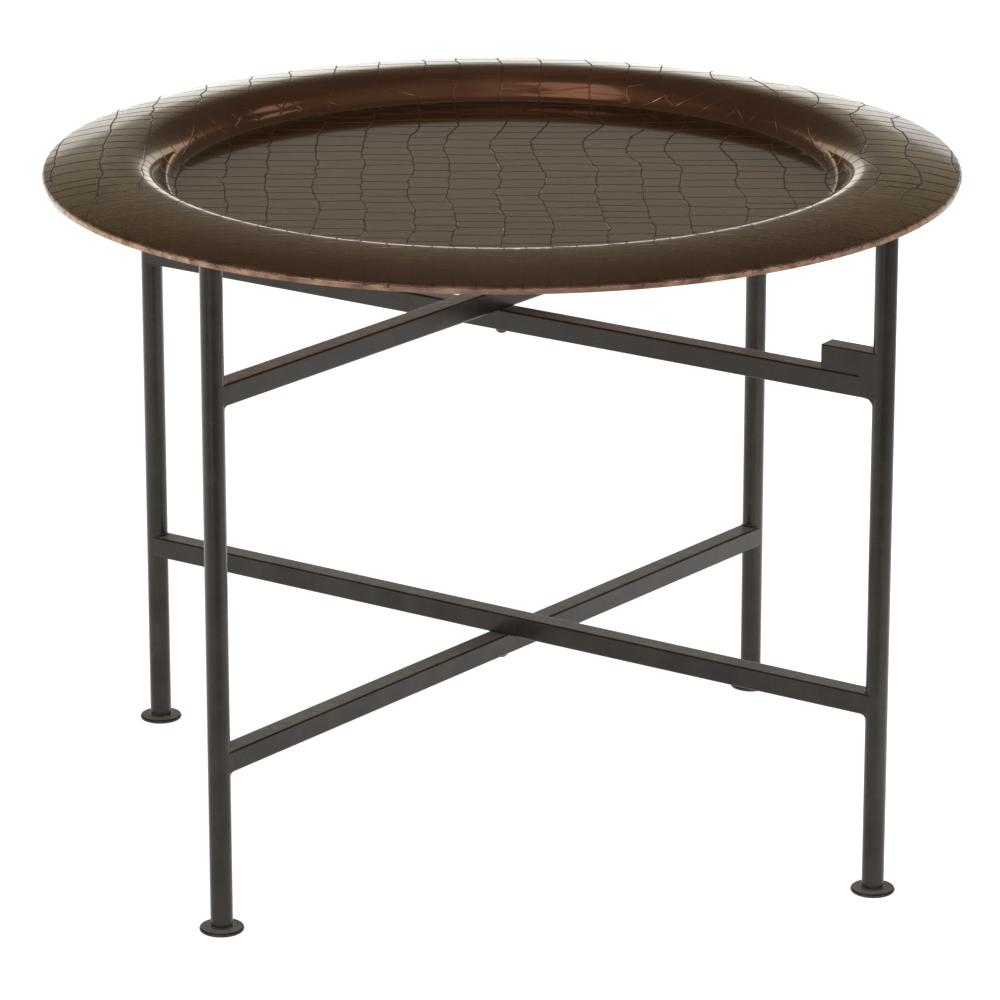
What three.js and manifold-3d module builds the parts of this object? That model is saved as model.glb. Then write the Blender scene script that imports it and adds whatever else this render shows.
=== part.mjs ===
// Folding tray table: a round pressed metal tray that rests on two crossed H-frames of steel bar.
// The frames turn about one upright axis, so the stand folds flat like scissors once the tray is off.
// Millimetres, +Z up. The origin is on the ground, on the pivot axis of the stand.
import * as THREE from 'three';
import { mergeVertices } from 'three/addons/utils/BufferGeometryUtils.js';
import Module from 'manifold-3d';

const wasm = await Module();
wasm.setup();

// ---- Driving dimensions -------------------------------------------------------------------

const CONTACT_GAP = 0.3; // between pieces that touch

const TRAY_RADIUS = 300;
const SHEET_THICKNESS = 1.2;
const EDGE_RADIUS = 3; // of the bend that turns the rim down at its outer edge
const EDGE_HEIGHT = 442.9; // centre of that bend above the ground
const LIP_DROP = 2.3; // of the turned-down lip below the centre of the bend
const RIM_CREST_RADIUS = 243; // where the rim's dome is highest
const RIM_CREST_RISE = 10.6; // of the crest above the centre of the edge bend
const SHOULDER_RADIUS = 22; // of the curve from the crest into the dish
const WALL_SLOPE = THREE.MathUtils.degToRad(66); // of the dish wall, from level
const FLOOR_CURVE_RADIUS = 9.5; // of the curve from the wall into the floor
const DISH_DEPTH = 20; // from the crest down to the floor

const LEG_DIAMETER = 14.5;
const LEG_CIRCLE_RADIUS = 290.8; // from the pivot axis to the centre of a leg
const FRAME_A_ANGLE = THREE.MathUtils.degToRad(52.1);
const FRAME_B_ANGLE = THREE.MathUtils.degToRad(145.9);

const RAIL_HEIGHT = 14.5;
const RAIL_THICKNESS = 14.5;
const RAIL_EDGE_RADIUS = 1.5;
const CROSSING_GAP = 0.6; // running clearance between the two rails at a crossing
const LOWER_CROSSING_HEIGHT = 122; // middle of the gap
const UPPER_CROSSING_HEIGHT = 348.7;
const END_BLOCK_LENGTH = 42;
const END_BLOCK_HEIGHT = 16;

const FOOT_RADIUS = 14.6;
const FOOT_THICKNESS = 3;

const PIN_RADIUS = 3;
const PIN_HEAD_RADIUS = 4.2;
const PIN_HEAD_HEIGHT = 3.6;
const PIN_HEAD_RIM = 0.6; // straight edge of the head, above its dome

const ROUND_SEGMENTS = 24;
const TRAY_SEGMENTS = 72;

// ---- Sizes that follow --------------------------------------------------------------------

const LEG_RADIUS = LEG_DIAMETER / 2;
const LEG_BOTTOM = FOOT_THICKNESS + CONTACT_GAP;
const PIVOT_HOLE_RADIUS = PIN_RADIUS + CONTACT_GAP;
const QUARTER_TURN = Math.PI / 2;

// ---- Materials ----------------------------------------------------------------------------

const trayMetal = new THREE.MeshStandardMaterial({ color: 0x6b4a36, roughness: 0.28, metalness: 1 });
const blackenedSteel = new THREE.MeshStandardMaterial({ color: 0x45423d, roughness: 0.42, metalness: 0.6 });
const footSteel = new THREE.MeshStandardMaterial({ color: 0x3f3c38, roughness: 0.3, metalness: 0.6 });
const pinSteel = new THREE.MeshStandardMaterial({ color: 0x4a4742, roughness: 0.35, metalness: 0.8 });

// ---- Helpers ------------------------------------------------------------------------------

function toSolid(geometry) {
  const bare = geometry.clone();
  bare.deleteAttribute('normal');
  bare.deleteAttribute('uv');
  const merged = mergeVertices(bare, 1e-4);
  return new wasm.Manifold(new wasm.Mesh({
    numProp: 3,
    vertProperties: new Float32Array(merged.attributes.position.array),
    triVerts: new Uint32Array(merged.index.array),
  }));
}

function toGeometry(solid) {
  const mesh = solid.getMesh();
  const geometry = new THREE.BufferGeometry();
  geometry.setAttribute('position', new THREE.BufferAttribute(mesh.vertProperties, mesh.numProp));
  geometry.setIndex(new THREE.BufferAttribute(mesh.triVerts, 1));
  geometry.computeVertexNormals();
  return geometry;
}

function cutFrom(geometry, cutters) {
  let solid = toSolid(geometry);
  for (const cutter of cutters) {
    solid = solid.subtract(toSolid(cutter));
  }
  return toGeometry(solid);
}

// A lathe turned about +Z from [radius, height] points that run from the bottom axis outwards and up.
function turned(points, segments) {
  const profile = points.map(([radius, height]) => new THREE.Vector2(radius, height));
  return new THREE.LatheGeometry(profile, segments).rotateX(Math.PI / 2);
}

function uprightCylinder(radius, bottom, top, segments = ROUND_SEGMENTS) {
  const height = top - bottom;
  return new THREE.CylinderGeometry(radius, radius, height, segments)
    .rotateX(Math.PI / 2)
    .translate(0, 0, bottom + height / 2);
}

// Points on a circular arc about a centre, from one angle to another.
function arcPoints([centreX, centreY], radius, fromAngle, toAngle, steps) {
  const points = [];
  for (let step = 0; step <= steps; step += 1) {
    const angle = fromAngle + ((toAngle - fromAngle) * step) / steps;
    points.push([centreX + radius * Math.cos(angle), centreY + radius * Math.sin(angle)]);
  }
  return points;
}

function addPiece(parent, name, geometry, material) {
  const piece = new THREE.Mesh(geometry, material.clone());
  piece.name = name;
  parent.add(piece);
  return piece;
}

// ---- Tray ---------------------------------------------------------------------------------

const EDGE_CENTRE_RADIUS = TRAY_RADIUS - EDGE_RADIUS;
const CREST_HEIGHT = EDGE_HEIGHT + RIM_CREST_RISE;
const FLOOR_HEIGHT = CREST_HEIGHT - DISH_DEPTH;

// The rim's dome runs level at the crest and meets the edge bend without a corner.
const DOME_RUN = EDGE_CENTRE_RADIUS - RIM_CREST_RADIUS;
const DOME_RADIUS = (DOME_RUN ** 2 + RIM_CREST_RISE ** 2 - EDGE_RADIUS ** 2)
  / (2 * (RIM_CREST_RISE - EDGE_RADIUS));
const DOME_SWEEP = Math.asin(DOME_RUN / (DOME_RADIUS - EDGE_RADIUS));

// The dish wall is straight between the shoulder curve and the curve into the floor.
const WALL_CURVES = SHOULDER_RADIUS + FLOOR_CURVE_RADIUS;
const WALL_DROP = DISH_DEPTH - WALL_CURVES * (1 - Math.cos(WALL_SLOPE));
const FLOOR_RADIUS = RIM_CREST_RADIUS - WALL_CURVES * Math.sin(WALL_SLOPE)
  - WALL_DROP / Math.tan(WALL_SLOPE);

// One face of the sheet from the middle of the floor to the foot of the lip, set in by an offset
// that is nothing for the upper face and the sheet's thickness for the underside.
function sheetFace(offset) {
  const shoulderHeight = CREST_HEIGHT - SHOULDER_RADIUS;
  return [
    [0, FLOOR_HEIGHT - offset],
    ...arcPoints(
      [FLOOR_RADIUS, FLOOR_HEIGHT + FLOOR_CURVE_RADIUS],
      FLOOR_CURVE_RADIUS + offset,
      -QUARTER_TURN,
      WALL_SLOPE - QUARTER_TURN,
      4,
    ),
    ...arcPoints(
      [RIM_CREST_RADIUS, shoulderHeight],
      SHOULDER_RADIUS - offset,
      QUARTER_TURN + WALL_SLOPE,
      QUARTER_TURN,
      5,
    ),
    ...arcPoints(
      [RIM_CREST_RADIUS, CREST_HEIGHT - DOME_RADIUS],
      DOME_RADIUS - offset,
      QUARTER_TURN,
      QUARTER_TURN - DOME_SWEEP,
      6,
    ).slice(1),
    ...arcPoints([EDGE_CENTRE_RADIUS, EDGE_HEIGHT], EDGE_RADIUS - offset, QUARTER_TURN - DOME_SWEEP, 0, 4).slice(1),
    [TRAY_RADIUS - offset, EDGE_HEIGHT - LIP_DROP],
  ];
}

function makeTray() {
  const outline = [...sheetFace(SHEET_THICKNESS), ...sheetFace(0).reverse()];
  return turned(outline, TRAY_SEGMENTS);
}

// ---- Legs and feet ------------------------------------------------------------------------

const LEG_CHAMFER = 0.8;
const LEG_TOP = EDGE_HEIGHT + 1.4; // the rim's underside rests on it, inside the lip

function makeLeg() {
  return turned([
    [0, LEG_BOTTOM],
    [LEG_RADIUS, LEG_BOTTOM],
    [LEG_RADIUS, LEG_TOP - LEG_CHAMFER],
    [LEG_RADIUS - LEG_CHAMFER, LEG_TOP],
    [0, LEG_TOP],
  ], ROUND_SEGMENTS);
}

function makeFoot() {
  const edge = FOOT_THICKNESS / 2;
  return turned([
    [0, 0],
    ...arcPoints([FOOT_RADIUS - edge, edge], edge, -QUARTER_TURN, QUARTER_TURN, 4),
    [0, FOOT_THICKNESS],
  ], ROUND_SEGMENTS);
}

// ---- Rails --------------------------------------------------------------------------------

// A bar with rounded long edges, lying along X, its underside at z = 0.
function makeBar(length, height) {
  const radius = RAIL_EDGE_RADIUS;
  const halfWidth = RAIL_THICKNESS / 2;
  const section = new THREE.Shape();
  section.absarc(halfWidth - radius, radius, radius, -Math.PI / 2, 0, false);
  section.absarc(halfWidth - radius, height - radius, radius, 0, Math.PI / 2, false);
  section.absarc(radius - halfWidth, height - radius, radius, Math.PI / 2, Math.PI, false);
  section.absarc(radius - halfWidth, radius, radius, Math.PI, 1.5 * Math.PI, false);
  const bar = new THREE.ExtrudeGeometry(section, { depth: length, bevelEnabled: false, curveSegments: 3 });
  return bar.translate(0, 0, -length / 2).rotateX(Math.PI / 2).rotateZ(Math.PI / 2);
}

function legCutter(side) {
  return uprightCylinder(LEG_RADIUS + CONTACT_GAP, -RAIL_HEIGHT, 2 * RAIL_HEIGHT)
    .translate(side * LEG_CIRCLE_RADIUS, 0, 0);
}

// A rail runs from leg to leg, its ends hollowed to fit them, with the pivot hole in the middle.
function makeRail() {
  const pivotHole = uprightCylinder(PIVOT_HOLE_RADIUS, -RAIL_HEIGHT, 2 * RAIL_HEIGHT);
  return cutFrom(makeBar(2 * LEG_CIRCLE_RADIUS, RAIL_HEIGHT), [legCutter(-1), legCutter(1), pivotHole]);
}

// A short bar, a little higher than the rails, that lies on the end of an upper rail, against the leg.
function makeEndBlock() {
  const centre = LEG_CIRCLE_RADIUS - END_BLOCK_LENGTH / 2;
  const block = makeBar(END_BLOCK_LENGTH, END_BLOCK_HEIGHT).translate(-centre, 0, 0);
  return cutFrom(block, [legCutter(-1)]);
}

// ---- Pivots -------------------------------------------------------------------------------

// A pin through both rails of a crossing. It is fixed flush in the upper rail and has a small
// domed head below the lower one.
function makePivotPin(crossingHeight) {
  const headTop = -CROSSING_GAP / 2 - RAIL_HEIGHT - CONTACT_GAP;
  const pinTop = CROSSING_GAP / 2 + RAIL_HEIGHT;
  const dome = arcPoints([0, headTop - PIN_HEAD_RIM], 1, -QUARTER_TURN, 0, 4)
    .map(([across, height]) => [
      across * PIN_HEAD_RADIUS,
      headTop - PIN_HEAD_RIM + (height - headTop + PIN_HEAD_RIM) * (PIN_HEAD_HEIGHT - PIN_HEAD_RIM),
    ]);
  return turned([
    ...dome,
    [PIN_HEAD_RADIUS, headTop],
    [PIN_RADIUS, headTop],
    [PIN_RADIUS, pinTop],
    [0, pinTop],
  ], ROUND_SEGMENTS).translate(0, 0, crossingHeight);
}

// ---- Assembly -----------------------------------------------------------------------------

const RAIL_ABOVE = CROSSING_GAP / 2; // underside of the rail that lies above a crossing's middle
const RAIL_BELOW = -CROSSING_GAP / 2 - RAIL_HEIGHT;

// One H-frame. Its legs stand at the two ends of the frame's own X axis.
function makeFrame(letter, angle, legNames, lowerRailBase, upperRailBase) {
  const frame = new THREE.Group();
  frame.rotation.z = angle;
  [1, -1].forEach((side, index) => {
    addPiece(frame, `leg_${legNames[index]}`, makeLeg(), blackenedSteel).position.x = side * LEG_CIRCLE_RADIUS;
    addPiece(frame, `foot_${legNames[index]}`, makeFoot(), footSteel).position.x = side * LEG_CIRCLE_RADIUS;
  });
  addPiece(frame, `lower_rail_${letter}`, makeRail(), blackenedSteel).position.z = lowerRailBase;
  addPiece(frame, `upper_rail_${letter}`, makeRail(), blackenedSteel).position.z = upperRailBase;
  return frame;
}

const frameA = makeFrame(
  'a',
  FRAME_A_ANGLE,
  ['back_right', 'front_left'],
  LOWER_CROSSING_HEIGHT + RAIL_BELOW,
  UPPER_CROSSING_HEIGHT + RAIL_ABOVE,
);
const frameB = makeFrame(
  'b',
  FRAME_B_ANGLE,
  ['back_left', 'front_right'],
  LOWER_CROSSING_HEIGHT + RAIL_ABOVE,
  UPPER_CROSSING_HEIGHT + RAIL_BELOW,
);
const blockBase = UPPER_CROSSING_HEIGHT + RAIL_BELOW + RAIL_HEIGHT + CONTACT_GAP;
addPiece(frameB, 'rail_end_block', makeEndBlock(), blackenedSteel).position.z = blockBase;

const table = new THREE.Group();
table.add(frameA, frameB);
addPiece(table, 'lower_pivot_pin', makePivotPin(LOWER_CROSSING_HEIGHT), pinSteel);
addPiece(table, 'upper_pivot_pin', makePivotPin(UPPER_CROSSING_HEIGHT), pinSteel);
addPiece(table, 'tray', makeTray(), trayMetal);

export default table;
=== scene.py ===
"""Looks of the folding tray table: an embossed copper-bronze tray on two crossed steel frames.

Lengths are in metres, in the frame's own axes: +Z is up and -Y is the front. The tray's pattern is
drawn on the sheet as it was while flat, and is then laid over the section of the finished tray.
"""
import math
import random

import bmesh
import bpy
import numpy as np
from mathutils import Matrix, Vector, noise
from mathutils.geometry import delaunay_2d_cdt
from mathutils.kdtree import KDTree


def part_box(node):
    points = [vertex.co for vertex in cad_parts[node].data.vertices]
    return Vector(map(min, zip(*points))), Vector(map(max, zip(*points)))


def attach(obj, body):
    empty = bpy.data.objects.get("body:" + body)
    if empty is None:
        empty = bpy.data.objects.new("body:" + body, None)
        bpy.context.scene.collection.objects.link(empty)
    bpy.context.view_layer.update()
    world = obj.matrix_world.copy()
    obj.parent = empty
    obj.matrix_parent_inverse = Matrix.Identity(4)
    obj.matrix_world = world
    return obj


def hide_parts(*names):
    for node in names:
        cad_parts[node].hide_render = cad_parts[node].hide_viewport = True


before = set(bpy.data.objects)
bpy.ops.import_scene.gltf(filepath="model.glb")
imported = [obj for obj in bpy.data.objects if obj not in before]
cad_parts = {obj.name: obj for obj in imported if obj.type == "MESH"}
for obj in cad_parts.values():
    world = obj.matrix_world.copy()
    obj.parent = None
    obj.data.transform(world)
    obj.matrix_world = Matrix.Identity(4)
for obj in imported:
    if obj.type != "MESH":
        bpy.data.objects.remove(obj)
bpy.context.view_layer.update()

MM = 0.001


# ---- Shapes that several pieces use ---------------------------------------------------------


def add_piece(name, mesh, material, slot, body, *nodes):
    """Shows a mesh as a piece that rides on a body, and stands for the CAD nodes given."""
    mesh.materials.append(material)
    piece = bpy.data.objects.new(name, mesh)
    bpy.context.scene.collection.objects.link(piece)
    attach(piece, body)
    if nodes:
        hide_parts(*nodes)


def smooth_mesh(name, points, faces, crease_angle=35):
    """A mesh shaded smooth, but for edges that turn by more than crease_angle degrees."""
    mesh = bpy.data.meshes.new(name)
    mesh.from_pydata([tuple(p) for p in points], [], faces)
    mesh.shade_smooth()
    mesh.set_sharp_from_angle(angle=math.radians(crease_angle))
    return mesh


def arc(centre, radius, start, end, steps):
    """Points on an arc in the plane of distance and height, with its angles in degrees."""
    angles = np.radians(np.linspace(start, end, steps + 1))
    return [(centre[0] + radius * math.cos(a), centre[1] + radius * math.sin(a)) for a in angles]


def fix_facing(mesh):
    """Turns a closed mesh's faces to the outside."""
    shape = bmesh.new()
    shape.from_mesh(mesh)
    bmesh.ops.recalc_face_normals(shape, faces=shape.faces)
    shape.to_mesh(mesh)
    shape.free()


def turned_mesh(name, profile, centre, segments=64):
    """A solid turned round an upright axis. Its profile of radius and height starts and ends on it."""
    points, faces, rings = [], [], []
    for radius, height in profile:
        if radius == 0:
            rings.append([len(points)])
            points.append((centre.x, centre.y, height))
            continue
        rings.append(range(len(points), len(points) + segments))
        for k in range(segments):
            angle = 2 * math.pi * k / segments
            across, along = radius * math.cos(angle), radius * math.sin(angle)
            points.append((centre.x + across, centre.y + along, height))
    for lower, upper in zip(rings, rings[1:]):
        for k in range(segments):
            corners = [lower[k % len(lower)], lower[(k + 1) % len(lower)]]
            corners += [upper[(k + 1) % len(upper)], upper[k % len(upper)]]
            faces.append(list(dict.fromkeys(corners)))
    return smooth_mesh(name, points, faces)


def bar_mesh(name, start, end, low, high, width, edge_radius, edge_steps=3):
    """A square bar from start to end in plan and from low to high, with its long edges rounded."""
    along = (end - start).normalized()
    across = Vector((-along.y, along.x))
    middle, half_height = (low + high) / 2, (high - low) / 2
    section, leans = [], []
    for quarter, (side, level) in enumerate([(1, 1), (-1, 1), (-1, -1), (1, -1)]):
        corner = (side * (width / 2 - edge_radius), level * (half_height - edge_radius))
        first = quarter * 90
        section += arc(corner, edge_radius, first, first + 90, edge_steps)
        leans += list(np.radians(np.linspace(first, first + 90, edge_steps + 1)))
    points = []
    for place in (start, end):
        for offset, height in section:
            in_plan = place + across * offset
            points.append((in_plan.x, in_plan.y, middle + height))
    count = len(section)
    faces = [[k, count + k, count + (k + 1) % count, (k + 1) % count] for k in range(count)]
    faces += [list(range(count)), list(range(count, 2 * count))[::-1]]
    mesh = smooth_mesh(name, points, faces)
    fix_facing(mesh)
    outward = [(*(across * math.cos(lean)), math.sin(lean)) for lean in leans]
    normals = []
    for face in mesh.polygons:
        on_end = len(face.vertices) == count
        normals += [face.normal if on_end else outward[vertex % count] for vertex in face.vertices]
    mesh.normals_split_custom_set([tuple(n) for n in normals])
    return mesh


# ---- The tray's section ---------------------------------------------------------------------

tray_low, tray_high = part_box("tray")
TRAY_RADIUS = tray_high.x
SHEET = 1.2 * MM
CREST_RADIUS = 243 * MM
SHOULDER_RADIUS = 22 * MM
WALL_SLOPE = math.radians(66)
FLOOR_CURVE_RADIUS = 9.5 * MM
EDGE_RADIUS = 3 * MM
EDGE_FALL = 10.6 * MM  # from the crest of the rim down to the centre of the bend at its edge
LIP_DROP = 2.3 * MM
SECTION_STEP = 0.1 * MM


def tray_stretches():
    """The stretches of the tray's top from its centre outwards: length, and lean at each end."""
    curves = SHOULDER_RADIUS + FLOOR_CURVE_RADIUS
    depth = tray_high.z - tray_low.z - SHEET
    wall_length = (depth - curves * (1 - math.cos(WALL_SLOPE))) / math.sin(WALL_SLOPE)
    wall_width = curves * math.sin(WALL_SLOPE) + wall_length * math.cos(WALL_SLOPE)
    rim_width = TRAY_RADIUS - EDGE_RADIUS - CREST_RADIUS
    dome_radius = (rim_width**2 + EDGE_FALL**2 - EDGE_RADIUS**2) / (2 * (EDGE_FALL - EDGE_RADIUS))
    dome_lean = math.asin(rim_width / (dome_radius - EDGE_RADIUS))
    upright = math.pi / 2
    return [
        (CREST_RADIUS - wall_width, 0, 0),
        (FLOOR_CURVE_RADIUS * WALL_SLOPE, 0, -WALL_SLOPE),
        (wall_length, -WALL_SLOPE, -WALL_SLOPE),
        (SHOULDER_RADIUS * WALL_SLOPE, -WALL_SLOPE, 0),
        (dome_radius * dome_lean, 0, dome_lean),
        (EDGE_RADIUS * (upright - dome_lean), dome_lean, upright),
        (LIP_DROP, upright, upright),
    ]


class Section:
    """The tray's top as radius, height and lean, by the distance from its centre along the sheet."""

    def __init__(self):
        stretches = tray_stretches()
        self.ends = np.cumsum([0] + [length for length, _, _ in stretches])
        knots = [0.0]
        leans = [0.0]
        for length, start, end in stretches:
            knots += [knots[-1] + 1e-9, knots[-1] + length]
            leans += [start, end]
        self.distance = np.arange(0, self.ends[-1], SECTION_STEP)
        self.distance = np.append(self.distance, self.ends[-1])
        self.lean = np.interp(self.distance, knots, leans)
        middle_lean = np.interp((self.distance[1:] + self.distance[:-1]) / 2, knots, leans)
        step = np.diff(self.distance)
        self.radius = np.concatenate([[0], np.cumsum(np.cos(middle_lean) * step)])
        fall = np.concatenate([[0], np.cumsum(np.sin(middle_lean) * step)])
        self.height = tray_low.z + SHEET - fall

    def at(self, distance):
        """Radius, height and lean at each of these distances."""
        found = (self.radius, self.height, self.lean)
        return [np.interp(distance, self.distance, values) for values in found]


section = Section()
FLOOR_END, FLOOR_CURVE_END, WALL_END, CREST, BEND_START, BEND_END, SHEET_END = section.ends[1:]


# ---- The embossed pattern, on the flat sheet ------------------------------------------------

PATTERN_SEED = 11
COLUMN_PITCH = 30 * MM
COLUMN_JITTER = 0.12  # of the pitch
COLUMN_STEP = 15 * MM
COLUMN_ZIGZAG = 1.5 * MM
SWAY = 6.5 * MM  # of the columns in the middle of the tray
SWAY_MORE_RIGHT = 6 * MM  # how much more they sway at its right edge
SWAY_LENGTH = 75 * MM  # over which the sway changes along a column
SWAY_WIDTH = 260 * MM  # over which it changes from column to column
SWAY_SLICE = 0.4  # where the noise is cut, as its third coordinate
NOISE_GAIN = 1.6  # brings the noise's usual peaks up to about 1
ROW_PITCH = 19 * MM
ROW_STEPS = (0.75, 0.85, 1, 1, 1, 1.15, 1.3)  # of the pitch, from one row to the next
ROW_TILT = 1.5 * MM
ROW_BEND = 0.7 * MM
ROW_BEND_SPAN = (0.3, 0.7)  # where along a row its bend may be, as a share
COLUMN_DEPTH = 0.15 * MM
ROW_DEPTH = 0.16 * MM
GROOVE_HALF_WIDTH = 0.85 * MM
RIM_EMPHASIS = 0.7  # how much deeper the pattern is at the sides and back of the rim
FRONT_RIM_LOSS = 0.8  # how much of it is pressed flat on the front of the rim
RIM_FADE_IN = (-4 * MM, 12 * MM)  # from the crest: where the rim's own depth starts, and is full
RIM_FADE_OUT = 8 * MM  # the length over which it runs out, before the bend
FRONT_SINES = (0.18, 0.5)  # of the angles round the rim where its front starts, and is full
EDGE_FADE = 0.6 * MM  # the grooves run out over this length at the sheet's edge
SHORT_COLUMN_END = -200 * MM  # the front of the sheet has extra, shorter columns, up to here
SHORT_COLUMN_JITTER = 8 * MM
FINE_STEP = 3.5 * MM
COARSE_STEP = 9 * MM

chance = random.Random(PATTERN_SEED)


def column_sway(across, along):
    """How far a column line is pushed aside: the lines sway together, more so to the right."""
    strength = SWAY + SWAY_MORE_RIGHT * across / SHEET_END
    sway = noise.noise(Vector((along / SWAY_LENGTH, across / SWAY_WIDTH, SWAY_SLICE)))
    return NOISE_GAIN * strength * sway


def column_line(across, start, end):
    """One line that runs from front to back, with a short zigzag along its sway."""
    count = max(2, round((end - start) / COLUMN_STEP))
    line = []
    for along in np.linspace(start, end, count + 1):
        zigzag = chance.uniform(-1, 1) * COLUMN_ZIGZAG
        line.append((across + column_sway(across, along) + zigzag, along))
    return np.array(line)


def row_line(left, right, along):
    """One line across a column, from its left line to its right one."""
    ends = [along + chance.uniform(-1, 1) * ROW_TILT for _ in range(2)]
    start = (np.interp(ends[0], left[:, 1], left[:, 0]), ends[0])
    end = (np.interp(ends[1], right[:, 1], right[:, 0]), ends[1])
    bend = chance.uniform(*ROW_BEND_SPAN)
    middle = np.array(start) * (1 - bend) + np.array(end) * bend
    middle[1] += chance.uniform(-1, 1) * ROW_BEND
    return np.array([start, middle, end])


def column_places():
    """Where the column lines start, from left to right."""
    half = math.ceil(SHEET_END / COLUMN_PITCH)
    jitter = COLUMN_JITTER
    return [(k + chance.uniform(-jitter, jitter)) * COLUMN_PITCH for k in range(-half, half + 1)]


def pattern_lines():
    """Every groove line on the flat sheet, with its depth."""
    reach = SHEET_END + COLUMN_PITCH
    columns = [column_line(across, -reach, reach) for across in column_places()]
    lines = [(column, COLUMN_DEPTH) for column in columns]
    for left, right in zip(columns, columns[1:]):
        along = -reach + chance.uniform(0, 1) * ROW_PITCH
        while along < reach:
            lines.append((row_line(left, right, along), ROW_DEPTH))
            along += ROW_PITCH * chance.choice(ROW_STEPS)
        middle = (left[0, 0] + right[0, 0]) / 2
        end = SHORT_COLUMN_END + chance.uniform(-1, 1) * SHORT_COLUMN_JITTER
        lines.append((column_line(middle, -reach, end), ROW_DEPTH))
    return lines


def resampled(line):
    """The line with points a few millimetres apart, closer where the sheet is curved, cut at its edge."""
    points = [line[0]]
    for start, end in zip(line, line[1:]):
        curved = np.hypot(*start) > FLOOR_END - COARSE_STEP
        count = math.ceil(np.hypot(*(end - start)) / (FINE_STEP if curved else COARSE_STEP))
        points += [start + (end - start) * k / count for k in range(1, count + 1)]
    kept = [p for p in points if np.hypot(*p) < SHEET_END - 2 * GROOVE_HALF_WIDTH]
    return np.array(kept)


def beside(line, offset):
    """The line moved sideways by an offset."""
    ahead = np.gradient(line, axis=0)
    ahead /= np.linalg.norm(ahead, axis=1)[:, None]
    return line + offset * np.stack([-ahead[:, 1], ahead[:, 0]], axis=1)


def trimmed(line, cut):
    """The line without its points that are nearer than cut to either end, and with new ends there."""
    length = np.concatenate([[0], np.cumsum(np.linalg.norm(np.diff(line, axis=0), axis=1))])
    if length[-1] < 3 * cut:
        return None
    inside = (length > cut) & (length < length[-1] - cut)
    ends = [[np.interp(s, length, line[:, axis]) for axis in (0, 1)] for s in (cut, length[-1] - cut)]
    return np.vstack([ends[0], line[inside], ends[1]])


class Grooves:
    """The groove lines as short stretches, to ask how deep and how steep the sheet is at a point."""

    def __init__(self, lines):
        starts, ends, depths = [], [], []
        for line, depth in lines:
            for start, end in zip(line, line[1:]):
                starts.append(start)
                ends.append(end)
                depths.append(depth)
        self.start, self.end, self.depth = np.array(starts), np.array(ends), np.array(depths)
        samples = []
        for k, (start, end) in enumerate(zip(starts, ends)):
            count = math.ceil(np.hypot(*(end - start)) / MM)
            samples += [(start + (end - start) * j / count, k) for j in range(count + 1)]
        self.owner = [k for _, k in samples]
        self.tree = KDTree(len(samples))
        for index, (place, _) in enumerate(samples):
            self.tree.insert((place[0], place[1], 0), index)
        self.tree.balance()

    def nearest(self, points):
        """For each point, the vector to it from the nearest groove line, and that line's depth."""
        found = [self.owner[self.tree.find((u, v, 0))[1]] for u, v in points]
        start, run = self.start[found], (self.end - self.start)[found]
        share = np.sum((points - start) * run, axis=1) / np.sum(run * run, axis=1)
        foot = start + run * np.clip(share, 0, 1)[:, None]
        return points - foot, self.depth[found]


# ---- The tray's mesh ------------------------------------------------------------------------

RIM_SPOKES = 360
EDGE_RINGS = 8
RING_STEP = 4 * MM
POINT_STEP = 6.5 * MM
CLEAR_OF_GROOVE = 1.6 * MM
ON_EDGE = 0.01 * MM
UNDERSIDE_RINGS = (4, 7, 6, 1, 3)  # over the bend, the rim, the shoulder, the wall and the floor's curve
UNDERSIDE_FLOOR_RINGS = (0.6, 0.2)  # of the flat floor's reach
UNDERSIDE_PAINTED_SHADE = 1.0  # painted shade: the whole underside gets the dark groove colour, as deep as the bottom of a groove


class Plan:
    """Points and edges on the flat sheet that its triangles have to keep."""

    def __init__(self):
        self.points = []
        self.edges = []

    def add_line(self, line, closed=False):
        """Adds a line of points, joined end to end."""
        first = len(self.points)
        self.points += [Vector(p) for p in line]
        count = len(line)
        self.edges += [(first + k, first + k + 1) for k in range(count - 1)]
        if closed:
            self.edges.append((first + count - 1, first))

    def triangles(self):
        """All points, with those where lines cross, and the triangles between them."""
        points, _, faces, *_ = delaunay_2d_cdt(self.points, self.edges, [], 0, 1e-6)
        return np.array([tuple(p) for p in points]), [list(f) for f in faces]


def ring_of_points(distance, count, turn=0.0):
    """Evenly spaced points on a circle of the flat sheet."""
    angles = (np.arange(count) + turn) * 2 * math.pi / count
    return np.stack([np.cos(angles), np.sin(angles)], axis=1) * distance


def sheet_plan(lines, grooves):
    """The flat sheet's grooves, its edge, and points to follow the curves of its section."""
    plan = Plan()
    for line, _ in lines:
        plan.add_line(line)
        for offset in (0.5 * GROOVE_HALF_WIDTH, GROOVE_HALF_WIDTH):
            for side in (-offset, offset):
                edge = trimmed(beside(line, side), GROOVE_HALF_WIDTH)
                if edge is not None:
                    plan.add_line(edge)
    for distance in np.linspace(BEND_START, SHEET_END, EDGE_RINGS):
        plan.add_line(ring_of_points(distance, RIM_SPOKES), closed=True)
    rings = round((BEND_START - FLOOR_END) / RING_STEP)
    for k, distance in enumerate(np.linspace(FLOOR_END, BEND_START, rings, endpoint=False)):
        ring = ring_of_points(distance, round(2 * math.pi * distance / POINT_STEP), k % 2 / 2)
        away, _ = grooves.nearest(ring)
        plan.points += [Vector(p) for p in ring[np.linalg.norm(away, axis=1) > CLEAR_OF_GROOVE]]
    return plan


def smooth_share(value, start, end):
    """How far a value is from start to end, from 0 to 1, eased at both."""
    share = np.clip((value - start) / (end - start), 0, 1)
    return share**2 * (3 - 2 * share)


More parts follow.
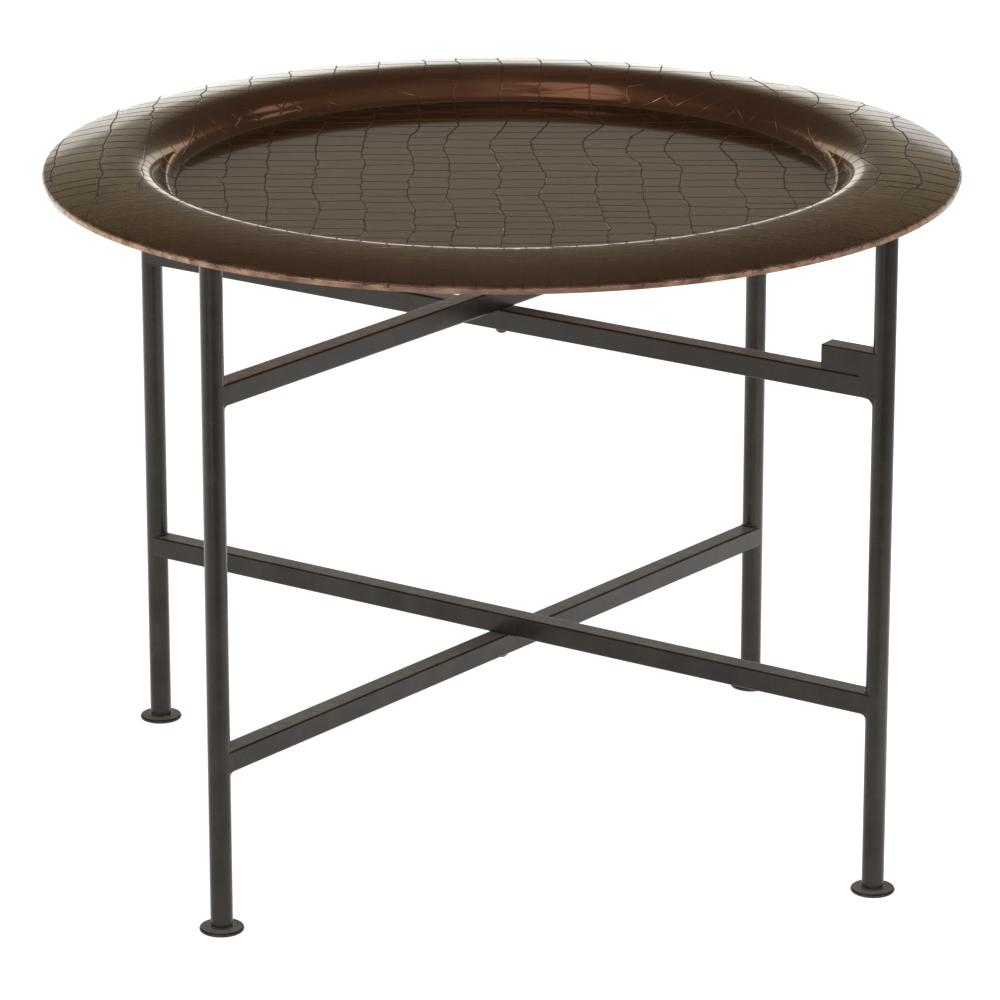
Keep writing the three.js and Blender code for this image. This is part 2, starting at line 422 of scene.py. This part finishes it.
def emphasis(flat, distance):
    """How strongly the pattern is pressed: more on the sides and back of the rim, less on its front."""
    on_rim = smooth_share(distance, CREST + RIM_FADE_IN[0], CREST + RIM_FADE_IN[1])
    on_rim = on_rim * (1 - smooth_share(distance, BEND_START - RIM_FADE_OUT, BEND_START))
    in_front = smooth_share(-flat[:, 1] / distance, *FRONT_SINES)
    return 1 + on_rim * (RIM_EMPHASIS * (1 - in_front) - FRONT_RIM_LOSS * in_front)


def laid_over_section(flat, away, depth):
    """Places points of the flat sheet on the tray, sunk into the grooves. Gives the places, the
    normals, and how near each point is to the bottom of a groove, from 0 to 1."""
    distance = np.maximum(np.hypot(flat[:, 0], flat[:, 1]), 1e-9)
    outward = flat / distance[:, None]
    sideways = np.stack([-outward[:, 1], outward[:, 0]], axis=1)
    radius, height, lean = section.at(distance)
    gap = np.linalg.norm(away, axis=1)
    share = np.clip(gap / GROOVE_HALF_WIDTH, 0, 1)
    depth = depth * emphasis(flat, distance) * np.clip((SHEET_END - distance) / EDGE_FADE, 0, 1)
    sunk = depth * (1 - share**2 * (3 - 2 * share))
    steepness = depth * 6 * share * (1 - share) / GROOVE_HALF_WIDTH
    normal = np.column_stack([np.sin(lean)[:, None] * outward, np.cos(lean)])
    down_section = np.column_stack([np.cos(lean)[:, None] * outward, -np.sin(lean)])
    along_ring = np.column_stack([sideways, np.zeros(len(flat))])
    points = np.column_stack([radius[:, None] * outward, height]) - sunk[:, None] * normal
    uphill = away / np.maximum(gap, 1e-9)[:, None]
    tilt = np.sum(uphill * outward, axis=1)[:, None] * down_section
    tilt += np.sum(uphill * sideways, axis=1)[:, None] * along_ring
    normal = normal - steepness[:, None] * tilt
    normal /= np.linalg.norm(normal, axis=1)[:, None]
    return points, normal, np.clip(sunk / ROW_DEPTH, 0, 1)


def underside_rings():
    """The tray's underside as rings of points with their normals, from its lip to its centre."""
    bounds = (BEND_END, BEND_START, CREST, WALL_END, FLOOR_CURVE_END, FLOOR_END)
    inward = [SHEET_END, BEND_END]
    for start, end, count in zip(bounds, bounds[1:], UNDERSIDE_RINGS):
        inward += list(np.linspace(start, end, count + 1)[1:])
    inward += [share * FLOOR_END for share in UNDERSIDE_FLOOR_RINGS]
    rings = []
    for distance in inward:
        flat = ring_of_points(distance, RIM_SPOKES)
        top, normal, _ = laid_over_section(flat, np.ones_like(flat), np.zeros(len(flat)))
        rings.append((top - SHEET * normal, -normal))
    return rings


def turn_of(point):
    """The point's angle round the tray, from nothing to just under a full turn."""
    return math.atan2(point[1], point[0]) % (2 * math.pi - 1e-6)


def edge_ring(points):
    """The indices of the lip's lowest points, in order round the tray."""
    on_edge = np.flatnonzero(np.hypot(points[:, 0], points[:, 1]) > SHEET_END - ON_EDGE)
    return sorted(on_edge, key=lambda index: turn_of(points[index]))


def stitched(first, second, points):
    """Triangles between two rings of points that may differ in number, each in order round the tray."""
    turns = []
    for ring in (first, second):
        angles = [turn_of(points[index]) for index in ring]
        turns.append([*angles, angles[0] + 2 * math.pi])
    faces = []
    i = j = 0
    while i < len(first) or j < len(second):
        start, end = first[i % len(first)], second[j % len(second)]
        if j == len(second) or (i < len(first) and turns[0][i + 1] <= turns[1][j + 1]):
            i += 1
            faces.append([first[i % len(first)], start, end])
        else:
            j += 1
            faces.append([start, end, second[j % len(second)]])
    return faces


def tray_mesh():
    """The tray as one closed skin: its embossed top, its lip and its plain underside."""
    lines = [(resampled(line), depth) for line, depth in pattern_lines()]
    lines = [(line, depth) for line, depth in lines if len(line) > 2]
    grooves = Grooves(lines)
    flat, faces = sheet_plan(lines, grooves).triangles()
    points, normals, dirt_and_shade = laid_over_section(flat, *grooves.nearest(flat))
    points, normals = list(points), list(normals)
    previous = edge_ring(flat)
    for ring, ring_normals in underside_rings():
        current = list(range(len(points), len(points) + RIM_SPOKES))
        points += list(ring)
        normals += list(ring_normals)
        faces += stitched(previous, current, points)
        previous = current
    points.append((0, 0, tray_low.z))
    normals.append((0, 0, -1))
    faces += [[previous[(k + 1) % RIM_SPOKES], previous[k], len(points) - 1] for k in range(RIM_SPOKES)]
    mesh = bpy.data.meshes.new("tray_skin")
    mesh.from_pydata([tuple(p) for p in points], [], faces)
    mesh.shade_smooth()
    mesh.normals_split_custom_set_from_vertices([tuple(n) for n in normals])
    attribute = mesh.attributes.new("dirt_and_shade", "FLOAT", "POINT")
    # The underside's points take the full dark groove colour: painted shade under the tray.
    below = np.full(len(points) - len(dirt_and_shade), UNDERSIDE_PAINTED_SHADE)
    attribute.data.foreach_set("value", np.append(dirt_and_shade, below))
    return mesh


# ---- Materials ------------------------------------------------------------------------------


class Shader:
    """A material's nodes, with short ways to add and join them."""

    def __init__(self, name):
        self.material = bpy.data.materials.new(name)
        self.material.use_nodes = True
        self.tree = self.material.node_tree
        self.surface = self.tree.nodes["Principled BSDF"]
        coordinates = self.tree.nodes.new("ShaderNodeTexCoord")
        self.place = coordinates.outputs["Object"]

    def node(self, kind, **settings):
        """A node with these properties set."""
        made = self.tree.nodes.new(kind)
        for name, value in settings.items():
            setattr(made, name, value)
        return made

    def join(self, output, socket):
        """Joins an output to an input."""
        self.tree.links.new(output, socket)

    def noise(self, scale, detail=3, roughness=0.5, stretch=(1, 1, 1)):
        """Noise in the object's own space, from 0 to 1. Scale is in spots per metre."""
        stretched = self.node("ShaderNodeMapping")
        stretched.inputs["Scale"].default_value = stretch
        self.join(self.place, stretched.inputs["Vector"])
        made = self.node("ShaderNodeTexNoise")
        made.inputs["Scale"].default_value = scale
        made.inputs["Detail"].default_value = detail
        made.inputs["Roughness"].default_value = roughness
        self.join(stretched.outputs["Vector"], made.inputs["Vector"])
        return made.outputs["Fac"]

    def ramp(self, source, *stops):
        """Colours or greys by a source from 0 to 1. A stop is (place, colour or grey)."""
        made = self.node("ShaderNodeValToRGB")
        while len(made.color_ramp.elements) < len(stops):
            made.color_ramp.elements.new(1)
        for element, (place, colour) in zip(made.color_ramp.elements, stops):
            element.position = place
            element.color = (*colour, 1) if isinstance(colour, tuple) else (colour, colour, colour, 1)
        self.join(source, made.inputs["Fac"])
        return made.outputs["Color"]

    def mix(self, share, first, second):
        """Two colours mixed by a share, which is a number or a socket."""
        made = self.node("ShaderNodeMix", data_type="RGBA")
        for socket, value in (("Factor_Float", share), ("A_Color", first), ("B_Color", second)):
            target = next(s for s in made.inputs if s.identifier == socket)
            if isinstance(value, bpy.types.NodeSocket):
                self.join(value, target)
            elif isinstance(value, tuple):
                target.default_value = (*value, 1)
            else:
                target.default_value = value
        return next(s for s in made.outputs if s.identifier == "Result_Color")

    def range(self, source, low, high, start=0, end=1):
        """A source from start to end as a number from low to high."""
        made = self.node("ShaderNodeMapRange")
        made.inputs["From Min"].default_value = start
        made.inputs["From Max"].default_value = end
        made.inputs["To Min"].default_value = low
        made.inputs["To Max"].default_value = high
        self.join(source, made.inputs["Value"])
        return made.outputs["Result"]

    def calculate(self, operation, first, second):
        """The outcome of a sum on two sockets."""
        made = self.node("ShaderNodeMath", operation=operation)
        self.join(first, made.inputs[0])
        self.join(second, made.inputs[1])
        return made.outputs["Value"]

    def sum(self, first, second):
        """Two sockets added up."""
        return self.calculate("ADD", first, second)

    def product(self, first, second):
        """Two sockets multiplied."""
        return self.calculate("MULTIPLY", first, second)

    def bump(self, *layers):
        """Adds bumps one on another. A layer is (height socket, depth in metres)."""
        normal = None
        for height, depth in layers:
            made = self.node("ShaderNodeBump")
            made.inputs["Strength"].default_value = 1
            made.inputs["Distance"].default_value = depth
            self.join(height, made.inputs["Height"])
            if normal is not None:
                self.join(normal, made.inputs["Normal"])
            normal = made.outputs["Normal"]
        self.join(normal, self.surface.inputs["Normal"])

    def set(self, **values):
        """Sets the surface's own sockets. Underscores stand for spaces in their names."""
        for name, value in values.items():
            socket = self.surface.inputs[name.replace("_", " ")]
            if isinstance(value, bpy.types.NodeSocket):
                self.join(value, socket)
            else:
                socket.default_value = (*value, 1) if isinstance(value, tuple) else value


COPPER_DARK = (0.20, 0.072, 0.028)
COPPER_LIGHT = (0.29, 0.105, 0.042)
EDGE_PALE = (0.36, 0.20, 0.13)
EDGE_DEEP = (0.14, 0.062, 0.036)
# The dark colour of the grooves' dirt, also painted over the whole underside as shade.
GROOVE_DIRT_AND_SHADE = (0.030, 0.018, 0.010)
WALL_DIRT_AND_SHADE = 0.15  # how much of the groove dirt, and of the underside's painted shade, is left at the dish's wall
# The pale grey painted on the steel's upward faces, as light on the tops.
PAINTED_TOP_LIGHT = (0.50, 0.47, 0.43)
STEEL_LOOKS = {  # dark colour, light colour, roughness and depth of the bumps
    "blackened_steel": ((0.018, 0.0135, 0.0100), (0.040, 0.032, 0.025), 0.26, 0.06 * MM),
    "foot_steel": ((0.016, 0.013, 0.011), (0.050, 0.042, 0.036), 0.18, 0.10 * MM),
    "pivot_steel": ((0.03, 0.028, 0.025), (0.09, 0.085, 0.078), 0.30, 0.05 * MM),
}


def distance_from_axis(shader):
    """How far a place on the tray is from its axis, as a share of its radius."""
    parts = shader.node("ShaderNodeSeparateXYZ")
    shader.join(shader.place, parts.inputs["Vector"])
    in_plan = shader.node("ShaderNodeCombineXYZ")
    shader.join(parts.outputs["X"], in_plan.inputs["X"])
    shader.join(parts.outputs["Y"], in_plan.inputs["Y"])
    length = shader.node("ShaderNodeVectorMath", operation="LENGTH")
    shader.join(in_plan.outputs["Vector"], length.inputs[0])
    return shader.range(length.outputs["Value"], 0, 1 / TRAY_RADIUS)


def tray_metal():
    """Dark copper-bronze under a clear lacquer, with dirt in the grooves, painted shade over the
    underside, and a paler, streaky colour on the edge.
    """
    shader = Shader("tray_metal")
    radius = distance_from_axis(shader)
    bounds = section.at([FLOOR_CURVE_END, WALL_END, CREST, BEND_START])[0]
    wall_foot, wall_top, crest, bend = (float(value) / TRAY_RADIUS for value in bounds)
    on_wall = ((wall_foot, WALL_DIRT_AND_SHADE), (wall_top, WALL_DIRT_AND_SHADE))
    off_wall = shader.ramp(radius, (wall_foot - 0.01, 1.0), *on_wall, (crest - 0.02, 1.0))
    near_edge = shader.ramp(radius, (crest, 0.0), (bend, 1.0))
    # The edge gets a paler, streaky copper colour all round.
    at_edge = shader.ramp(radius, (bend - 0.002, 0.0), (bend + 0.005, 1.0))
    clouds = shader.noise(24, detail=5, roughness=0.62)
    streaks = shader.noise(70, detail=4, stretch=(0.4, 2.5, 1))
    copper = shader.ramp(clouds, (0.3, COPPER_DARK), (0.7, COPPER_LIGHT))
    edge_colour = shader.ramp(streaks, (0.35, EDGE_DEEP), (0.65, EDGE_PALE))
    # Groove dirt on the top, painted shade on the underside.
    laid_dirt_and_shade = shader.node("ShaderNodeAttribute", attribute_name="dirt_and_shade").outputs["Fac"]
    dirt_and_shade = shader.product(laid_dirt_and_shade, off_wall)
    colour = shader.mix(at_edge, copper, edge_colour)
    colour = shader.mix(shader.range(dirt_and_shade, 0, 0.75), colour, GROOVE_DIRT_AND_SHADE)
    shader.set(
        Base_Color=colour,
        Metallic=shader.range(dirt_and_shade, 1.0, 0.3),
        Roughness=shader.sum(shader.range(streaks, 0.12, 0.24), shader.range(dirt_and_shade, 0, 0.4)),
        Specular_Tint=(0.6, 0.58, 0.38),
        Coat_Weight=shader.range(dirt_and_shade, 1.0, 0.1),
        Coat_Roughness=0.06,
    )
    leather = shader.noise(200, detail=6, roughness=0.7, stretch=(0.5, 1.6, 1))
    shader.bump(
        (shader.noise(150, detail=4), 0.05 * MM),
        (shader.noise(900, detail=2), 0.008 * MM),
        (shader.product(leather, near_edge), 0.9 * MM),
    )
    return shader.material


def steel(name, dark, light, rough, bump_depth):
    """Blackened steel under wax: cloudy, with fine scale, more or less rough, and painted a pale grey in
    patches on its upward faces, as light falling on the tops.
    """
    shader = Shader(name)
    clouds = shader.noise(38, detail=5, roughness=0.65)
    grain = shader.noise(700, detail=3)
    colour = shader.ramp(clouds, (0.3, dark), (0.72, light))
    colour = shader.mix(shader.range(grain, 0, 0.35), colour, dark)
    upward = shader.node("ShaderNodeSeparateXYZ")
    shader.join(shader.node("ShaderNodeNewGeometry").outputs["Normal"], upward.inputs["Vector"])
    on_top = shader.range(upward.outputs["Z"], 0, 1, start=0.8, end=1.0)
    # Painted light: upward faces are mixed toward a pale grey and made less metallic, so the tops look
    # lit from above.
    painted_top_light = shader.product(on_top, shader.range(clouds, 0.55, 1.0))
    shader.set(
        Base_Color=shader.mix(painted_top_light, colour, PAINTED_TOP_LIGHT),
        Metallic=shader.range(painted_top_light, 0.35, 0.0),
        Roughness=shader.range(clouds, rough - 0.06, rough + 0.08),
        Specular_IOR_Level=0.4,
    )
    shader.bump((shader.noise(90, detail=3), bump_depth), (grain, 0.2 * bump_depth))
    return shader.material


# ---- The stand ------------------------------------------------------------------------------

BAR_EDGE_RADIUS = 1.5 * MM
LEG_CHAMFER = 1 * MM
TOP_WELD = 2 * MM
FOOT_WELD = 0.7 * MM
FOOT_EDGE_END = 62  # degrees, where the round edge runs into the domed top
FOOT_DOME_RADIUS = 0.8  # of the foot's radius
FOOT_DOME_FALL = 0.12  # of half the foot's thickness
FOOT_DOME_GAP = 0.02 * MM  # the dome's middle stays below the CAD foot's top by this much
FOOT_WELD_ARC = (-100, -178)  # degrees, from the foot's top up to the leg
FOOT_WELD_SPREAD = 1.2  # how far the foot's weld reaches out, for each unit of its height
WELD_SIDE_GAP = 0.6 * MM  # a weld stops short of its leg's sides by this much
WELD_LUMP = 0.18  # how uneven a weld is, as a share of its size
WELD_LUMP_LENGTH = 3 * MM
WELD_SPREAD = 40  # the noise's units for each metre between two welds, so that they aren't alike
WELD_ROWS = 9  # sections across a weld
WELD_STEPS = 6  # in the curve of each section
WELD_INSIDE = 0.3  # how far out from the leg's axis a weld starts, as a share of the leg's reach
WELD_SINK = 0.5 * MM  # how far a weld reaches into its rail
BLOCK_LENGTH = 42 * MM
BLOCK_EDGE = 1 * MM
BLOCK_WELD_LENGTH = 7 * MM
BLOCK_WELD_INSET = 0.1 * MM
BLOCK_WELD_EDGE = 0.3 * MM
PIN_HEAD_RIM = 0.6 * MM
PIN_DOME_POINTS = 9
PIN_SHANK_SHARE = 0.7  # of the head's width
PIN_GROUND_IN = 0.3 * MM

LEG_BODIES = {
    "front_left": "frame_a",
    "back_right": "frame_a",
    "front_right": "frame_b",
    "back_left": "frame_b",
}
FRAME_LEGS = {"a": ("front_left", "back_right"), "b": ("back_left", "front_right")}
UNDER_WELDS = {  # the size of the weld below each end of each rail
    ("lower", "front_left"): 3 * MM,
    ("lower", "back_right"): 2.5 * MM,
    ("lower", "back_left"): 2 * MM,
    ("lower", "front_right"): 4.5 * MM,
    ("upper", "front_left"): 3 * MM,
    ("upper", "back_right"): 2.5 * MM,
    ("upper", "back_left"): 2 * MM,
    ("upper", "front_right"): 6 * MM,
}


def node_centre(node):
    """The middle of a CAD node's box."""
    low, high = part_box(node)
    return (low + high) / 2


def half_width(node):
    """Half the width of a CAD node along X."""
    low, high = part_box(node)
    return (high.x - low.x) / 2


def make_leg(name, material):
    """A round bar, with its ends chamfered."""
    node = "leg_" + name
    low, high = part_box(node)
    radius = half_width(node)
    profile = [
        (0, low.z),
        (radius - LEG_CHAMFER, low.z),
        (radius, low.z + LEG_CHAMFER),
        (radius, high.z - LEG_CHAMFER),
        (radius - LEG_CHAMFER, high.z),
        (0, high.z),
    ]
    mesh = turned_mesh(node, profile, node_centre(node), segments=72)
    add_piece("round_" + node, mesh, material, "blackened_steel", LEG_BODIES[name], node)


def make_foot(name, material):
    """A low disc with a full round edge and a slightly domed top, welded to its leg all round."""
    node = "foot_" + name
    low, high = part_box(node)
    radius, edge = half_width(node), (high.z - low.z) / 2
    leg_radius = half_width("leg_" + name)
    dome_foot = high.z - FOOT_DOME_FALL * edge
    weld_top = high.z + FOOT_WELD
    weld_radius = leg_radius + FOOT_WELD_SPREAD * FOOT_WELD
    profile = [(0, low.z)]
    profile += arc((radius - edge, low.z + edge), edge, -90, FOOT_EDGE_END, 8)
    profile += [(radius * FOOT_DOME_RADIUS, dome_foot), (weld_radius, high.z - FOOT_DOME_GAP)]
    profile += arc((weld_radius, weld_top), FOOT_WELD, *FOOT_WELD_ARC, 4)
    profile += [(0, weld_top)]
    mesh = turned_mesh(node, profile, node_centre(node), segments=72)
    add_piece("disc_" + node, mesh, material, "foot_steel", LEG_BODIES[name], node)


def make_rail(letter, level, material):
    """A square bar whose ends run into the two legs of its frame."""
    node = f"{level}_rail_{letter}"
    low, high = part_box(node)
    start, end = (node_centre("leg_" + leg).xy for leg in FRAME_LEGS[letter])
    mesh = bar_mesh(node, start, end, low.z, high.z, high.z - low.z, BAR_EDGE_RADIUS)
    add_piece("square_" + node, mesh, material, "blackened_steel", "frame_" + letter, node)


def weld_mesh(name, leg, other_leg, level, size, side):
    """A concave weld in the corner between a leg and the face of a rail. Side is -1 under the rail."""
    leg_centre, other_centre = (node_centre("leg_" + n).xy for n in (leg, other_leg))
    along = (other_centre - leg_centre).normalized()
    across = Vector((-along.y, along.x))
    leg_radius = half_width("leg_" + leg)
    half = leg_radius - WELD_SIDE_GAP
    rows = []
    for offset in np.linspace(-half, half, WELD_ROWS):
        spot = Vector((offset / WELD_LUMP_LENGTH, leg_centre.x * WELD_SPREAD, level * WELD_SPREAD))
        radius = size * (1 + WELD_LUMP * noise.noise(spot))
        reach = math.sqrt(leg_radius**2 - offset**2)
        inside, outside, sunk = WELD_INSIDE * reach, reach + radius, -side * WELD_SINK
        outline = [(inside, sunk), (outside, sunk)]
        outline += arc((outside, side * radius), radius, -90 * side, -180 * side, WELD_STEPS)
        outline += [(inside, side * radius)]
        rows.append([(offset, distance, height) for distance, height in outline])
    points = []
    for offset, distance, height in sum(rows, []):
        in_plan = leg_centre + along * distance + across * offset
        points.append((in_plan.x, in_plan.y, level + height))
    count = len(rows[0])
    faces = [list(range(count)), list(range(len(points) - count, len(points)))[::-1]]
    for row in range(len(rows) - 1):
        for k in range(count):
            after = (k + 1) % count
            first, second = row * count, (row + 1) * count
            faces.append([first + k, second + k, second + after, first + after])
    mesh = smooth_mesh(name, points, faces, crease_angle=50)
    fix_facing(mesh)
    return mesh


def make_rail_welds(letter, level, material):
    """The welds at both ends of a rail, below it and above it."""
    low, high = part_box(f"{level}_rail_{letter}")
    legs = FRAME_LEGS[letter]
    for leg, other in (legs, legs[::-1]):
        block_on_top = (level, leg) == ("upper", "front_right")
        under = UNDER_WELDS[level, leg]
        for place, height, size, side in (("under", low.z, under, -1), ("top", high.z, TOP_WELD, 1)):
            if block_on_top and side == 1:
                continue
            name = f"weld_{place}_{level}_rail_{letter}_{leg}"
            mesh = weld_mesh(name, leg, other, height, size, side)
            add_piece(name, mesh, material, "blackened_steel", "frame_" + letter)


def make_end_block(material):
    """The short block on the upper rail at the front right leg, and the ground weld beside the leg."""
    block_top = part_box("rail_end_block")[1].z
    rail_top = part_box("upper_rail_b")[1].z
    leg, other = (node_centre("leg_" + name).xy for name in ("front_right", "back_left"))
    along = (other - leg).normalized()
    width = 2 * half_width("leg_front_right")
    block = bar_mesh("block", leg, leg + along * BLOCK_LENGTH, rail_top, block_top, width, BLOCK_EDGE)
    add_piece("end_block", block, material, "blackened_steel", "frame_b", "rail_end_block")
    weld_end = leg + along * (half_width("leg_front_right") + BLOCK_WELD_LENGTH)
    weld_half = 2 * BAR_EDGE_RADIUS
    weld_low, weld_high = rail_top - weld_half, rail_top + weld_half
    weld_width = width - BLOCK_WELD_INSET
    seam = bar_mesh("seam", leg, weld_end, weld_low, weld_high, weld_width, BLOCK_WELD_EDGE)
    add_piece("weld_end_block", seam, material, "blackened_steel", "frame_b")


def make_pin(level, material):
    """A pivot pin: its top is ground into the upper rail, and it has a small domed head below."""
    node = f"{level}_pivot_pin"
    low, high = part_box(node)
    radius = half_width(node)
    head_top = min(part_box(f"{level}_rail_{letter}")[0].z for letter in "ab")
    dome_top = head_top - PIN_HEAD_RIM
    dome = [
        (radius * math.sin(a), dome_top - (dome_top - low.z) * math.cos(a))
        for a in np.linspace(0, math.pi / 2, PIN_DOME_POINTS)
    ]
    dome[0] = (0, low.z)
    shank, shank_top = radius * PIN_SHANK_SHARE, high.z - PIN_GROUND_IN
    profile = dome + [(radius, head_top), (shank, head_top), (shank, shank_top), (0, shank_top)]
    mesh = turned_mesh(node, profile, node_centre(node), segments=48)
    body = {"lower": "frame_b", "upper": "frame_a"}[level]
    add_piece("domed_" + node, mesh, material, "pivot_steel", body, node)


def make_stand():
    """Both frames, with their feet, welds and pivots."""
    bar, foot, pivot = (steel(name, *look) for name, look in STEEL_LOOKS.items())
    for name in LEG_BODIES:
        make_leg(name, bar)
        make_foot(name, foot)
    for letter in FRAME_LEGS:
        for level in ("lower", "upper"):
            make_rail(letter, level, bar)
            make_rail_welds(letter, level, bar)
    make_end_block(bar)
    for level in ("lower", "upper"):
        make_pin(level, pivot)


# ---- Studio ---------------------------------------------------------------------------------

FLOOR_RADIUS = 14
GLOW_REACH = 1.6  # the floor's glow changes from this far on the left to as far on the right
FRONT_GLOW_PLACES = (-1.0, -0.5)  # along Y, where the front's own glow is full and where it ends
# How much the floor glows from left to right, as pairs of place and brightness.
FLOOR_GLOW = ((0.0, 1.5), (0.25, 1.8), (0.34, 1.05), (0.56, 1.1), (0.66, 2.0), (0.75, 1.6), (1.0, 0.7))
FRONT_GLOW = ((0.0, 0.5), (0.22, 0.6), (0.35, 1.4), (0.44, 0.35), (0.55, 0.3), (1.0, 0.6))
SKY_BY_HEIGHT = (  # brightness by the sine of the height above the horizon
    (0.0, 1.5),
    (0.145, 1.4),
    (0.18, 0.40),
    (0.25, 0.26),
    (0.33, 0.21),
    (0.42, 0.185),
    (0.68, 0.185),
    (0.85, 0.20),
    (1.0, 0.18),
)
SKY_TINT = (1.0, 0.95, 0.88)
TINT_HEIGHT = 0.25
FRONT_SKY_GAIN = 1.95
FRONT_SKY_PLACES = (-0.6, 0.0)  # along Y, where the gain of the front is full and where it ends
SIDE_SKY_GAIN = 0.7
SIDE_SKY_PLACES = (0.04, 0.15)  # along X, where the gain of the sides starts and where it is full
CAMERA_PLACE = (-0.0012, -3.4337, 1.3225)
CAMERA_PITCH = 17.89
CAMERA_LENS = 194.95
CAMERA_REACH = 60


def make_floor():
    """A wide white floor that glows, so that it stays white under the table."""
    shape = bmesh.new()
    bmesh.ops.create_circle(shape, cap_ends=True, radius=FLOOR_RADIUS, segments=64)
    mesh = bpy.data.meshes.new("floor")
    shape.to_mesh(mesh)
    shape.free()
    shader = Shader("floor_white")
    parts = shader.node("ShaderNodeSeparateXYZ")
    shader.join(shader.place, parts.inputs["Vector"])
    across = shader.range(parts.outputs["X"], 0, 1, start=-GLOW_REACH, end=GLOW_REACH)
    far_glow, near_glow = shader.ramp(across, *FLOOR_GLOW), shader.ramp(across, *FRONT_GLOW)
    full, none = FRONT_GLOW_PLACES
    in_front = shader.range(parts.outputs["Y"], 1, 0, start=full, end=none)
    shader.set(
        Base_Color=(0.25, 0.25, 0.25),
        Roughness=1.0,
        Specular_IOR_Level=0.0,
        Emission_Color=shader.mix(in_front, far_glow, near_glow),
        Emission_Strength=1.0,
    )
    mesh.materials.append(shader.material)
    floor = bpy.data.objects.new("floor", mesh)
    bpy.context.scene.collection.objects.link(floor)


def changing_gain(tree, source, places, first, last):
    """A strength that goes from first to last while the source goes from one place to the other."""
    node = tree.nodes.new("ShaderNodeMapRange")
    values = zip(("From Min", "From Max", "To Min", "To Max"), (*places, first, last))
    for name, value in values:
        node.inputs[name].default_value = value
    tree.links.new(source, node.inputs["Value"])
    return node.outputs["Result"]


def make_world():
    """A soft studio: white low down, darker and a little warm above, and brightest in front."""
    world = bpy.data.worlds.new("studio")
    bpy.context.scene.world = world
    world.use_nodes = True
    tree = world.node_tree
    direction = tree.nodes.new("ShaderNodeTexCoord").outputs["Generated"]
    parts = tree.nodes.new("ShaderNodeSeparateXYZ")
    tree.links.new(direction, parts.inputs["Vector"])
    sky = tree.nodes.new("ShaderNodeValToRGB")
    while len(sky.color_ramp.elements) < len(SKY_BY_HEIGHT):
        sky.color_ramp.elements.new(1)
    for element, (height, glow) in zip(sky.color_ramp.elements, SKY_BY_HEIGHT):
        warmth = min(height / TINT_HEIGHT, 1) ** 2
        element.position = height
        element.color = (*(glow * (1 - warmth * (1 - share)) for share in SKY_TINT), 1)
    sideways = tree.nodes.new("ShaderNodeMath")
    sideways.operation = "ABSOLUTE"
    side_gain = changing_gain(tree, sideways.outputs["Value"], SIDE_SKY_PLACES, 1.0, SIDE_SKY_GAIN)
    front_gain = changing_gain(tree, parts.outputs["Y"], FRONT_SKY_PLACES, FRONT_SKY_GAIN, 1.0)
    gain = tree.nodes.new("ShaderNodeMath")
    gain.operation = "MULTIPLY"
    tree.links.new(parts.outputs["X"], sideways.inputs[0])
    tree.links.new(side_gain, gain.inputs[0])
    tree.links.new(front_gain, gain.inputs[1])
    tree.links.new(parts.outputs["Z"], sky.inputs["Fac"])
    tree.links.new(sky.outputs["Color"], tree.nodes["Background"].inputs["Color"])
    tree.links.new(gain.outputs["Value"], tree.nodes["Background"].inputs["Strength"])


def make_softbox(name, bearing, rise, width, height, glow, distance=3.0):
    """A rectangular light that faces the tray. Bearing is in degrees to the left of the camera's side,
    rise in degrees above the tray, and glow is how bright its face is."""
    middle = Vector((0, 0, tray_high.z))
    turn, lift = math.radians(bearing), math.radians(rise)
    away = Vector((-math.sin(turn) * math.cos(lift), -math.cos(turn) * math.cos(lift), math.sin(lift)))
    lamp = bpy.data.lights.new(name, "AREA")
    lamp.shape = "RECTANGLE"
    lamp.size, lamp.size_y = width, height
    lamp.energy = glow * math.pi * width * height
    box = bpy.data.objects.new(name, lamp)
    bpy.context.scene.collection.objects.link(box)
    box.location = middle + away * distance
    box.rotation_euler = (-away).to_track_quat("-Z", "Y").to_euler()


def make_camera():
    """The camera, in front of the table and a little above it."""
    camera = bpy.data.objects.new("camera", bpy.data.cameras.new("camera"))
    bpy.context.scene.collection.objects.link(camera)
    camera.data.lens = CAMERA_LENS
    camera.data.clip_end = CAMERA_REACH
    camera.location = CAMERA_PLACE
    camera.rotation_euler = (math.radians(90 - CAMERA_PITCH), 0, 0)
    bpy.context.scene.camera = camera


def main():
    """The table with its looks, the studio and the camera."""
    add_piece("embossed_tray", tray_mesh(), tray_metal(), "tray_metal", "tray", "tray")
    make_stand()
    make_floor()
    make_world()
    make_softbox("softbox_left_low", bearing=40, rise=14, width=0.9, height=0.6, glow=3.0)
    make_softbox("softbox_left_high", bearing=36, rise=52, width=1.2, height=1.8, glow=0.5)
    make_softbox("softbox_right_low", bearing=-52, rise=8, width=0.4, height=0.5, glow=2.5)
    make_softbox("softbox_right_high", bearing=-98, rise=34, width=0.8, height=0.6, glow=0.6)
    make_camera()
    bpy.context.scene.view_settings.view_transform = "Standard"


main()
